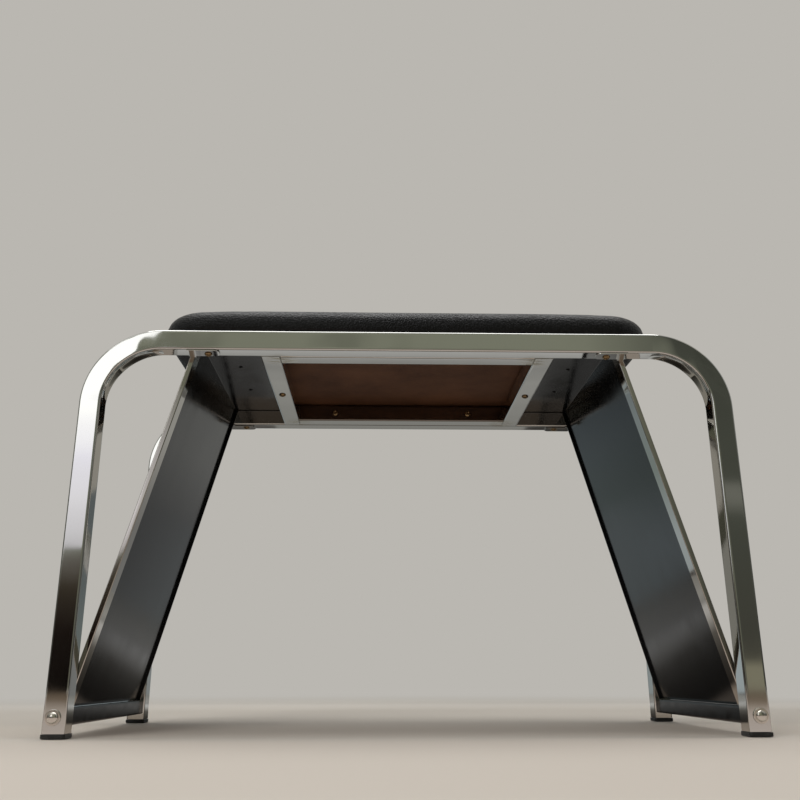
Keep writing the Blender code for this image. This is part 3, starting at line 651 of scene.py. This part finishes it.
def make_foot_caps():
    """Each cap is a stack of rounded squares: a lip with eased edges, then a plug with two ribs."""
    low, high = span("foot_cap_front_left")
    side, top = high[0] - low[0], high[2]
    plug = TUBE - 2 * TUBE_WALL - 2 * CLEARANCE
    turn = np.linspace(0, np.pi / 2, 6)
    sizes = [side - 2 * FOOT_EDGE * (1 - np.sin(turn)), side - FOOT_EDGE * (1 - np.cos(turn))]
    levels = [FOOT_EDGE * (1 - np.cos(turn)), FOOT_LIP - FOOT_EDGE / 2 * (1 - np.sin(turn))]
    pitch = (top - FOOT_LIP) / 2
    for base in (FOOT_LIP, FOOT_LIP + pitch):
        sizes.append(np.array([plug - 2 * FOOT_RIB, plug - 2 * FOOT_RIB, plug, plug - FOOT_RIB]))
        levels.append(base + np.array([0, pitch / 2, pitch / 2 + FOOT_RIB / 2, pitch]))
    rings = np.array([rounded_rectangle(size / 2, size / 2, TUBE_CORNER, TUBE_ARC_STEPS, FOOT_SIDE_STEPS)
                      for size in np.concatenate(sizes)])
    for face in FACES:
        for edge in SIDES:
            node = f"foot_cap_{face}_{edge}"
            low, high = span(node)
            grid = raised(rings + (low[:2] + high[:2]) / 2, np.concatenate(levels))
            add_surface(node + "_moulded", grid, "foot_plastic", [node])


def turned_head(radius, height, base, recess):
    """Rows of radius, height and recess depth over a domed head, from the middle of its top to its rim.

    The dome is an ellipse: height times the square root of one less the radius share squared."""
    steep = np.sin(np.linspace(math.asin(HEAD_EVEN), np.pi / 2, 9))[1:]
    share = np.concatenate([np.linspace(0, HEAD_EVEN, 26), steep])
    rise = np.sqrt(np.clip(1 - share ** 2, 0, 1))
    return np.stack([share * radius, base + height * rise, np.full_like(share, recess)], axis=1)


def pan_head_rows(length, head=SCREW_HEAD, high=SCREW_HEAD_HIGH, recess=RECESS_DEPTH):
    """Rows of a pan-head screw seated on the plane z = 0, its point at -length."""
    shank = SCREW_SHANK / 2
    tail = [(shank, 0, 0), (shank, shank - length, 0), (0, -length, 0)]
    return np.concatenate([turned_head(head / 2, high, 0, recess), tail])


def small_head_rows(length):
    """Rows of a screw whose low, smooth head hardly stands out of the flange."""
    return pan_head_rows(length, SMALL_HEAD, SMALL_HEAD_HIGH, 0)


def dome_bolt_rows(length):
    """Rows of a smooth dome-head bolt with a thin flange, seated on the plane z = 0."""
    shank, flange, thick = BOLT_SHANK / 2, BOLT_FLANGE / 2, BOLT_FLANGE_THICK
    ease = np.linspace(0, np.pi / 2, 5)
    rim = np.stack([flange - BOLT_EDGE * (1 - np.sin(ease)), thick - BOLT_EDGE * (1 - np.cos(ease)),
                    0 * ease], axis=1)
    tail = [(flange, 0, 0), (shank, 0, 0), (shank, -length, 0), (0, -length, 0)]
    return np.concatenate([turned_head(BOLT_DOME / 2, BOLT_DOME_HIGH, thick, 0), rim, tail])


def cross_recess(x, y):
    """Depth share of a driver's cross recess: the deeper of two troughs with sloping walls.

    Along each trough the depth goes by a parabola to nothing at its reach."""
    along, across = np.stack([x, y]), np.abs(np.stack([y, x]))
    wall = np.clip((RECESS_WIDTH / 2 - across) / (RECESS_WALL * RECESS_WIDTH) + 0.5, 0, 1)
    return (wall * np.clip(RECESS_FULL * (1 - (along / RECESS_REACH) ** 2), 0, 1)).max(axis=0)


def turned_grid(rows, seat, way, turn):
    """Rows turned about an axis: each radius goes round a circle and the recess is sunk into its height.

    The axis leaves the seat against way, the shank's direction, and the recess is turned about it."""
    angle = np.linspace(0, 2 * np.pi, TURNED_STEPS, endpoint=False)
    sunk = rows[:, 2:] * cross_recess(rows[:, :1] * np.cos(angle), rows[:, :1] * np.sin(angle))
    axis = -np.array(way, dtype=float)
    first = np.roll(axis, 1)
    second = np.cross(axis, first)
    radial = np.cos(angle + turn)[:, None] * first + np.sin(angle + turn)[:, None] * second
    return np.array(seat) + rows[:, :1, None] * radial + (rows[:, 1:2] - sunk)[..., None] * axis


def make_fasteners():
    """Bolts and screws at the places of their nodes, each turned to another angle."""
    corners = [(f"_{face}_{side}", sign) for face, sign in FACES.items() for side in SIDES]
    halves = [("_" + side, 1) for side in SIDES]
    bolt_head = BOLT_FLANGE_THICK + BOLT_DOME_HIGH
    kinds = [("foot_bolt", corners, dome_bolt_rows, bolt_head, "foot_bolt", (0, -1, 0)),
             ("ear_screw", corners, pan_head_rows, SCREW_HEAD_HIGH, "screw", (0, 0, 1)),
             ("seat_frame_screw", corners, pan_head_rows, SCREW_HEAD_HIGH, "screw", (0, 1, 0)),
             ("flange_screw", corners, small_head_rows, SCREW_HEAD_HIGH, "black_paint", (0, 0, 1)),
             ("seat_screw", halves, pan_head_rows, SCREW_HEAD_HIGH, "screw", (0, 0, 1))]
    turn = FIRST_TURN
    for kind, endings, rows, head, slot, shank in kinds:
        for ending, sign in endings:
            node = kind + ending
            low, high = span(node)
            way = np.array(shank) * (1, sign, 1)
            axis = np.abs(way).argmax()
            seat = (low + high) / 2
            seat[axis] = low[axis] + head if way[axis] > 0 else high[axis] - head
            turn += NEXT_TURN
            grid = turned_grid(rows(high[axis] - low[axis] - head), seat, way, turn)
            add_surface(node + "_turned", grid, slot, [node])


def pad_ring(inset):
    """Plan outline of the pad drawn in by an inset; each side bows in by a parabola between its corners."""
    half = (PAD_HIGH - PAD_LOW)[:2] / 2 - inset
    radius = max(PAD_CORNER - inset, PAD_LEAST_CORNER)
    ring = rounded_rectangle(half[0], half[1], radius, CORNER_STEPS, PAD_SIDE_STEPS)
    share = np.minimum(np.abs(ring) / (half - radius), 1)
    return ring - np.sign(ring) * PAD_PULL * (1 - share[:, ::-1] ** 2)


def make_board():
    """A stack of pad outlines with a chamfer under it, a hair smaller than the cover's inside."""
    skin = COVER + CLEARANCE + BOARD_EASE
    plans = [pad_ring(skin + PAD_TUCK), pad_ring(skin), pad_ring(skin)]
    heights = [BOARD_LOW[2], BOARD_LOW[2] + PAD_TUCK, BOARD_HIGH[2]]
    add_surface("seat_board_cut", raised(plans, heights), "hardboard", ["seat_board"])


def pad_form():
    """Grid of the pad's closed form: pad outlines from under the middle to the crown, drawn in by an inset.

    Up from the tuck the inset is nothing along the side, follows a circle over the shoulder and then a
    parabola to the crown, which lies a little under the finished pad because the cover swells. Above the
    side each corner is drawn down by the product of the sixth powers of its shares of the half length and
    half depth."""
    under, rim = PAD_LOW[2], PAD_LOW[2] + PAD_SIDE
    tuck = np.linspace(0, np.pi / 2, 5)
    turn = np.linspace(0, PAD_SHOULDER_TURN, 12)
    reach = (PAD_HIGH - PAD_LOW)[1] / 2 - PAD_MIDDLE
    shoulder = PAD_SHOULDER * (1 - np.cos(turn))
    rise = rim + PAD_SHOULDER * np.sin(turn)
    share = np.linspace(0, 1, 14)[1:]
    crown = PAD_HIGH[2] - PAD_SLACK - rise[-1]
    inset = [[reach], PAD_TUCK * (1 - np.sin(tuck)), shoulder,
             shoulder[-1] + share * (reach - shoulder[-1])]
    height = [[under], under + PAD_TUCK * (1 - np.cos(tuck)), rise,
              rise[-1] + crown * (1 - (1 - share) ** 2)]
    grid = raised([pad_ring(step) for step in np.concatenate(inset)], np.concatenate(height))
    shares = 2 * grid[..., :2] / (PAD_HIGH - PAD_LOW)[:2]
    drop = PAD_CORNER_DROP * (shares ** 6).prod(axis=-1) / PAD_CORNER_SHARE
    grid[..., 2] -= drop * np.clip((grid[..., 2] - rim) / PAD_SHOULDER, 0, 1)
    return grid


def mesh_points(mesh):
    """All points of a mesh as an array."""
    return values(mesh.vertices, "co")


def even_mesh(grid):
    """The pad's form remeshed to even quads."""
    rows, columns = grid.shape[:2]
    faces = grid_quads(rows, columns, False, True)
    faces += [list(range(columns))[::-1], list(range((rows - 1) * columns, rows * columns))]
    mesh = bpy.data.meshes.new("pad_form")
    mesh.from_pydata(grid.reshape(-1, 3).tolist(), [], faces)
    obj = new_object("pad_form", mesh)
    remesh = obj.modifiers.new("even", "REMESH")
    remesh.mode, remesh.voxel_size = "VOXEL", PAD_VOXEL
    shown = obj.evaluated_get(bpy.context.evaluated_depsgraph_get())
    even = bpy.data.meshes.new_from_object(shown)
    bpy.data.objects.remove(obj)
    return even


def swell(mesh):
    """Cloth under pressure for some frames, held at the sides and less and less over the shoulder.

    A point's way is drawn in by the hyperbolic tangent of its length, so that none moves beyond the cap."""
    scene = bpy.context.scene
    start = mesh_points(mesh)
    obj = new_object("pad_swelling", mesh)
    held = obj.vertex_groups.new(name="held")
    hold = np.clip((PAD_LOW[2] + PAD_SIDE + PAD_SHOULDER - start[:, 2]) / PAD_SHOULDER, 0, 1)
    for level in range(1, HOLD_LEVELS + 1):
        points = np.flatnonzero(np.rint(HOLD_LEVELS * hold) == level)
        held.add(points.tolist(), level / HOLD_LEVELS, "REPLACE")
    cloth = obj.modifiers.new("swell", "CLOTH")
    cloth.settings.quality = 6
    cloth.settings.use_pressure = True
    cloth.settings.uniform_pressure_force = PAD_PRESSURE
    cloth.settings.vertex_group_mass = held.name
    cloth.settings.effector_weights.gravity = 0
    cloth.point_cache.frame_start, cloth.point_cache.frame_end = 1, SWELL_FRAMES
    for step in range(1, SWELL_FRAMES + 1):
        scene.frame_set(step)
    swollen = obj.evaluated_get(bpy.context.evaluated_depsgraph_get())
    shift = mesh_points(swollen.data) - start
    obj.modifiers.remove(cloth)
    length = np.linalg.norm(shift, axis=1, keepdims=True) + 1e-9
    capped = shift * PAD_SWELL_CAP * np.tanh(length / PAD_SWELL_CAP) / length
    mesh.vertices.foreach_set("co", (start + capped).ravel())
    bpy.data.objects.remove(obj)
    scene.frame_set(1)


def make_cover(form):
    """The pad's skin without the middle of its underside, whose edge is moved onto a rounded rectangle."""
    half = (PAD_HIGH - PAD_LOW)[:2] / 2 - COVER_WRAP
    radius = PAD_CORNER - COVER_WRAP
    points = mesh_points(form)
    quads = values(form.loops, "vertex_index", 1, np.int32).reshape(-1, 4)
    beyond = np.maximum(np.abs(points[:, :2]) - half + radius, 0)
    inside = (np.linalg.norm(beyond, axis=1) < radius) & (points[:, 2] < PAD_LOW[2] + UNDERSIDE_BAND)
    quads = quads[~inside[quads].any(axis=1)]
    sides = np.sort(np.stack([quads, np.roll(quads, -1, axis=1)], axis=-1).reshape(-1, 2), axis=1)
    sides, count = np.unique(sides, axis=0, return_counts=True)
    rim = np.unique(sides[count == 1])
    edge = rounded_rectangle(half[0], half[1], radius, COVER_ARC_STEPS, COVER_SIDE_STEPS)
    points[rim, :2] = edge[np.linalg.norm(points[rim, None, :2] - edge, axis=2).argmin(axis=1)]
    used, corners = np.unique(quads, return_inverse=True)
    mesh = bpy.data.meshes.new("seat_cover_sewn")
    mesh.from_pydata(points[used].tolist(), [], corners.reshape(-1, 4).tolist())
    mesh.shade_smooth()
    obj = dress("seat_cover_sewn", mesh, "leatherette", ["seat_cover"])
    finer = obj.modifiers.new("finer", "SUBSURF")
    finer.levels = finer.render_levels = 1
    wall = obj.modifiers.new("wall", "SOLIDIFY")
    wall.thickness, wall.offset = COVER, -1.0


def make_foam(form):
    """The pad's form drawn in by the cover's thickness and cut flat on the board."""
    inner = mesh_points(form) - values(form.vertex_normals, "vector") * (COVER + FOAM_EASE)
    mesh = form.copy()
    mesh.name = "seat_foam_cut"
    mesh.vertices.foreach_set("co", inner.ravel())
    bm = bmesh.new()
    bm.from_mesh(mesh)
    bmesh.ops.bisect_plane(bm, geom=bm.verts[:] + bm.edges[:] + bm.faces[:], dist=CUT_WITHIN,
                           plane_co=(0, 0, BOARD_HIGH[2] + CLEARANCE), plane_no=(0, 0, 1),
                           clear_inner=True)
    bmesh.ops.holes_fill(bm, edges=bm.edges[:], sides=0)
    bmesh.ops.recalc_face_normals(bm, faces=bm.faces)
    bm.to_mesh(mesh)
    bm.free()
    mesh.shade_smooth()
    mesh.set_sharp_from_angle(angle=math.radians(FOAM_FOLD))
    dress("seat_foam_cut", mesh, "foam", ["seat_foam"])


def make_seat_pad():
    """Board, and cover and foam from one swollen form."""
    make_board()
    form = even_mesh(pad_form())
    swell(form)
    make_cover(form)
    make_foam(form)


def set_camera():
    """Camera at the viewing angle of the bench's picture: low in front, looking slightly up."""
    pitch, yaw, roll = np.radians([CAMERA_PITCH, CAMERA_YAW, CAMERA_ROLL])
    data = bpy.data.cameras.new("front_camera")
    data.lens, data.sensor_width = CAMERA_LENS, CAMERA_SENSOR
    camera = new_object("front_camera", data)
    turned = Matrix.Rotation(-yaw, 4, "Z") @ Matrix.Rotation(math.pi / 2 + pitch, 4, "X")
    camera.matrix_world = Matrix.Translation(CAMERA_PLACE) @ turned @ Matrix.Rotation(roll, 4, "Z")
    bpy.context.scene.camera = camera


def add_flat(name, corners, material):
    """A rectangle through four corners, with one material."""
    mesh = bpy.data.meshes.new(name)
    mesh.from_pydata(corners, [], [(0, 1, 2, 3)])
    mesh.materials.append(material)
    obj = new_object(name, mesh)
    return obj


def lay_floor():
    """Pale floor that goes over into the background colour with distance, so that no horizon shows."""
    material, tree, sockets, place = new_finish("studio_floor", FLOOR, 0.55, Specular_IOR_Level=0.3)
    glow = add_node(tree, "Emission", {"Color": BACKGROUND, "Strength": 1.0})
    away = add_node(tree, "VectorMath", {0: place}, "Value", operation="LENGTH")
    share = add_node(tree, "MapRange", {"Value": away, "From Min": FLOOR_CLEAR, "From Max": FLOOR_GONE},
                     interpolation_type="SMOOTHSTEP")
    mixed = add_node(tree, "MixShader", {0: share, 1: tree.nodes["Principled BSDF"].outputs[0], 2: glow})
    tree.links.new(mixed, tree.nodes["Material Output"].inputs["Surface"])
    corners = [(-1, -1), (1, -1), (1, 1), (-1, 1)]
    add_flat("floor", [(x * FLOOR_HALF, y * FLOOR_HALF, -FLOOR_DROP) for x, y in corners], material)


def hang_card(name, low, high, stops, run=2, strength=1.0, stir=0.0):
    """A glowing card between two corners that shows in reflections only.

    Its colour goes through the stops, pairs of place and hex colour, along the axis run. Stir darkens it
    in soft patches, as the things in a room would."""
    low, high = np.array(low), np.array(high)
    up = (high - low) * (np.arange(3) == run)
    material = bpy.data.materials.new(name)
    material.use_nodes = True
    tree = material.node_tree
    place = add_node(tree, "TexCoord", {}, "Object")
    level = add_node(tree, "MapRange", {"Value": add_node(tree, "SeparateXYZ", {0: place}, run),
                                        "From Min": low[run], "From Max": high[run]})
    shade = add_node(tree, "ValToRGB", {0: level})
    ramp = shade.node.color_ramp.elements
    for _ in stops[2:]:
        ramp.new(0.5)
    for element, (spot, text) in zip(ramp, stops):
        element.position, element.color = (spot - low[run]) / up[run], colour(text)
    patches = add_node(tree, "TexNoise", {"Vector": place, "Scale": 1 / PATCH, "Detail": 4.0})
    power = add_node(tree, "MapRange", {"Value": patches, "From Min": 0.5, "From Max": 0.65,
                                        "To Min": strength, "To Max": strength * (1 - stir)})
    glow = add_node(tree, "Emission", {"Color": shade, "Strength": power})
    tree.links.new(glow, tree.nodes["Material Output"].inputs["Surface"])
    card = add_flat(name, np.array([low, high - up, high, low + up]).tolist(), material)
    card.visible_camera = card.visible_diffuse = card.visible_shadow = card.visible_transmission = False


def add_softbox(name, place, aim, size, power, mirrored):
    """A rectangular area lamp turned to aim at a point; polished metal shows it where mirrored."""
    data = bpy.data.lights.new(name, "AREA")
    data.shape, data.size, data.size_y, data.energy = "RECTANGLE", size[0], size[1], power
    lamp = new_object(name, data)
    lamp.location = place
    lamp.rotation_euler = (Vector(place) - Vector(aim)).to_track_quat("Z", "Y").to_euler()
    lamp.visible_glossy = mirrored


def light_studio():
    """Pale surroundings, a softbox at the front left, one overhead, and cards for the metal to mirror."""
    world = bpy.data.worlds.new("studio")
    world.use_nodes = True
    bpy.context.scene.world = world
    tree = world.node_tree
    path = add_node(tree, "LightPath", {}).node.outputs
    seen = add_node(tree, "Math", {0: path["Is Camera Ray"], 1: path["Is Glossy Ray"]}, operation="MAXIMUM")
    seen = add_node(tree, "Math", {0: seen, 1: path["Is Transmission Ray"]}, operation="MAXIMUM")
    shown = add_node(tree, "Background", {"Color": BACKGROUND, "Strength": 1.0})
    fill = add_node(tree, "Background", {"Color": "#F4F5F7", "Strength": 0.45})
    mixed = add_node(tree, "MixShader", {0: seen, 1: fill, 2: shown})
    tree.links.new(mixed, tree.nodes["World Output"].inputs["Surface"])
    add_softbox("front_left_softbox", (-1.35, -2.2, 1.05), (-0.3, 0, 0.35), (1.1, 1.15), 30, False)
    add_softbox("overhead_softbox", (0.0, 0.1, 2.0), (0.0, 0.1, 0.0), (1.8, 1.3), 24, True)
    hang_card("front_card", (-4.0, -2.9, 0.0), (4.0, -2.9, 3.2),
              [(0.0, "#5E5A50"), (0.5, "#7E7F70"), (1.0, "#8E9080")], stir=0.25)
    hang_card("window_card", (-1.9, -2.2, 0.44), (-0.83, -2.2, 1.6),
              [(0.44, "#B2B0B4"), (0.60, "#D1CFD5"), (0.75, "#DDDBE6"), (0.93, "#FFFFFF")], strength=1.7)
    hang_card("window_edge_card", (-0.83, -2.2, 0.44), (-0.69, -2.2, 1.0),
              [(0.44, "#A9A7A6"), (0.60, "#DCDADB"), (0.75, "#CFCDD0"), (0.95, "#A09F9B")])
    hang_card("front_left_low_card", (-2.6, -2.25, 0.0), (-0.55, -2.25, 0.42),
              [(0.0, "#0B0908"), (0.19, "#1D1613"), (0.34, "#413A31"), (0.42, "#6A655E")])
    hang_card("front_right_card", (0.70, -2.3, 0.0), (2.8, -2.3, 2.4),
              [(0.70, "#8E9080"), (1.15, "#50524A"), (2.8, "#4A4C44")], run=0, stir=0.15)
    hang_card("right_band_card", (1.10, -2.28, 0.0), (1.36, -2.28, 0.75),
              [(0.0, "#8F8B78"), (0.09, "#8F8B78"), (0.12, "#4A4942"), (0.58, "#50524A"), (0.61, "#7C7C74"),
               (0.67, "#7C7C74"), (0.70, "#50524A")])
    hang_card("back_right_card", (0.0, 1.65, 0.0), (1.4, 1.65, 0.8),
              [(0.0, "#6C6C6C"), (0.30, "#8C8C8A"), (0.46, "#A6A6A2")])
    hang_card("back_left_card", (-1.4, 1.65, 0.0), (0.0, 1.65, 0.8),
              [(0.1, "#AAB4B8"), (0.30, "#85918F"), (0.46, "#879295"), (0.62, "#767F84")])
    hang_card("back_middle_card", (-0.3, 1.64, 0.0), (0.3, 1.64, 0.28),
              [(-0.3, "#98A2A4"), (0.3, "#80807F")], run=0)
    hang_card("front_floor_card", (-1.6, -2.2, 0.001), (1.6, -0.15, 0.001),
              [(-2.2, "#5E5246"), (-1.15, "#7A6A5A"), (-0.75, "#BBAEA4"), (-0.15, "#C9BDB6")], run=1)
    hang_card("floor_card", (-1.6, -0.12, 0.001), (1.6, 1.62, 0.001),
              [(-0.12, "#9A8E83"), (0.06, "#8E8378"), (0.10, "#2B2825"), (0.27, "#403D39"), (0.47, "#625F5A"),
               (0.60, "#A3A19D"), (0.70, "#BDBCBA"), (0.79, "#BDBCBA"), (0.87, "#8F8E8B"), (1.0, "#A09F9B"),
               (1.2, "#94938F"), (1.6, "#85847F")], run=1)
    hang_card("floor_left_card", (-1.2, 0.95, 0.002), (-0.31, 1.6, 0.002),
              [(0.95, "#76736F"), (1.6, "#4A4744")], run=1)
    hang_card("floor_right_card", (0.385, 0.95, 0.002), (1.2, 1.6, 0.002),
              [(0.95, "#55534F"), (1.6, "#33312F")], run=1)
    hang_card("top_front_card", (-1.6, -1.7, 1.8), (1.2, -0.6, 1.8),
              [(-1.6, "#FFFFFF"), (-0.2, "#D8D8D8"), (0.5, "#7A7A7A"), (1.2, "#6A6A6A")], run=0, strength=1.3)
    for side, sign in SIDES.items():
        hang_card(side + "_card", (sign * 2.4, -1.8, 0.0), (sign * 2.4, 1.8, 2.4),
                  [(0.0, "#3A3835"), (0.6, "#6E6E6A"), (1.4, "#A9A9A6")], stir=0.2)


def main():
    """Set the camera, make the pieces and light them."""
    set_camera()
    make_arches()
    make_straight_tubes()
    make_mirror_panels()
    make_backing_sheets()
    make_ears()
    make_foot_caps()
    make_fasteners()
    make_seat_pad()
    for face in FACES:
        for side in SIDES:
            insert = bpy.data.objects[f"rail_insert_{face}_{side}"]
            insert.material_slots[0].material = FINISHES["plain_steel"]
    lay_floor()
    light_studio()
    bpy.context.scene.view_settings.view_transform = "Standard"


main()
